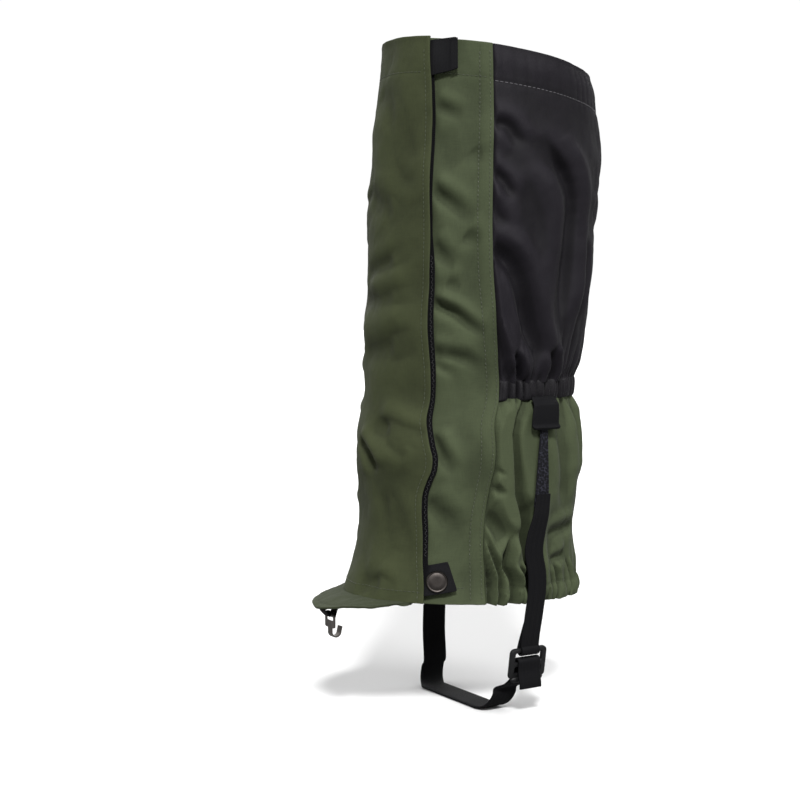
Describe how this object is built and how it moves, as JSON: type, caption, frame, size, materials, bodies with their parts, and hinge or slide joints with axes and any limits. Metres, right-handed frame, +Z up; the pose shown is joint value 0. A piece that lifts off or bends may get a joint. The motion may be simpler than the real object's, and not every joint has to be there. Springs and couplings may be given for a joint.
{
  "type": "hiking gaiter",
  "caption": "Front-closing hiking gaiter for the left leg, worn: fabric wrap with hook-and-loop front, gathered ankle, snapped hem, peak with lace hook and a buckled strap under the arch.",
  "frame": {"origin": "on the leg's axis at the level of the foot strap's underside, where the boot's arch sits on the strap", "axes": "+Z up the leg, -Y towards the toe, +X towards the wearer's outer side, where the buckle is"},
  "size_m": [0.1473, 0.2384, 0.4653],
  "materials": {
    "green_fabric": "matt coated twill",
    "black_fabric": "matt coated plain weave",
    "black_webbing": "woven polypropylene webbing",
    "elastic": "ribbed woven elastic",
    "hook_and_loop": "hook-and-loop tape",
    "cord": "braided elastic cord",
    "black_plastic": "moulded acetal",
    "dark_metal": "gunmetal plated"
  },
  "bodies": {
    "wrap": {"side_panel": "green_fabric", "calf_panel": "black_fabric", "heel_panel": "green_fabric", "ankle_band": "black_fabric", "ankle_elastic": "elastic", "lower_hem": "green_fabric", "hem_elastic": "elastic", "rim_hem": "black_fabric", "drawcord_outer": "cord", "drawcord_inner": "cord", "drawcord_loop": "cord", "eyelet_outer": "dark_metal", "eyelet_inner": "dark_metal", "loop_tape": "hook_and_loop", "rim_loop_patch": "hook_and_loop", "snap_stud": "dark_metal", "snap_post": "dark_metal", "outer_tab": "black_webbing", "inner_tab": "black_webbing"},
    "front": {"front_flap": "green_fabric", "hook_tape": "hook_and_loop", "peak": "green_fabric", "lace_tab": "black_webbing"},
    "rim_tab": {"rim_tab": "black_webbing", "rim_hook_pad": "hook_and_loop"},
    "snap_tab": {"snap_tab": "black_webbing", "snap_socket": "dark_metal", "snap_cap": "dark_metal"},
    "lace_hook": {"lace_hook": "dark_metal"},
    "cord_lock": {"cord_lock_barrel": "black_plastic", "cord_lock_spring": "dark_metal"},
    "lock_button": {"cord_lock_button": "black_plastic"},
    "foot_loop": {"elastic_strap": "elastic", "upper_strap": "black_webbing", "foot_strap": "black_webbing", "inner_strap": "black_webbing"},
    "buckle": {"ladder_buckle": "black_plastic", "strap_tail": "black_webbing"}
  },
  "joints": [
    {"name": "front_opens", "type": "hinge", "parent": "wrap", "child": "front", "pos_m": [-0.05775, -0.0485, 0.27], "axis": [0.0118, -0.0656, -0.9978], "range_deg": [0, 120]},
    {"name": "rim_tab_peels", "type": "hinge", "parent": "front", "child": "rim_tab", "pos_m": [0.03529, -0.06713, 0.44892], "axis": [0.0541, -0.0858, -0.9948], "range_deg": [0, 100]},
    {"name": "snap_tab_lifts", "type": "hinge", "parent": "front", "child": "snap_tab", "pos_m": [0.04377, -0.08226, 0.0967], "axis": [0.0774, -0.2929, -0.953], "range_deg": [0, 100]},
    {"name": "lace_hook_swings", "type": "hinge", "parent": "front", "child": "lace_hook", "pos_m": [0, -0.1268, 0.0715], "axis": [1, 0, 0], "range_deg": [-40, 50]},
    {"name": "cord_lock_slides", "type": "slide", "parent": "wrap", "child": "cord_lock", "axis": [-0.008, 0.0961, -0.9953], "range_m": [0, 0.014]},
    {"name": "button_presses", "type": "slide", "parent": "cord_lock", "child": "lock_button", "axis": [0.9966, 0.0825, 0], "range_m": [0, 0.002], "stiffness_N_per_m": 250, "springref_m": -0.002, "deforming": ["cord_lock_spring"]},
    {"name": "foot_loop_swings", "type": "hinge", "parent": "wrap", "child": "foot_loop", "pos_m": [0, 0.0015, 0.205], "axis": [1, 0, 0], "range_deg": [-20, 20]},
    {"name": "buckle_tilts", "type": "hinge", "parent": "foot_loop", "child": "buckle", "pos_m": [0.064, -0.0053, 0.045], "axis": [0, -1, 0], "range_deg": [0, 25]}
  ]
}
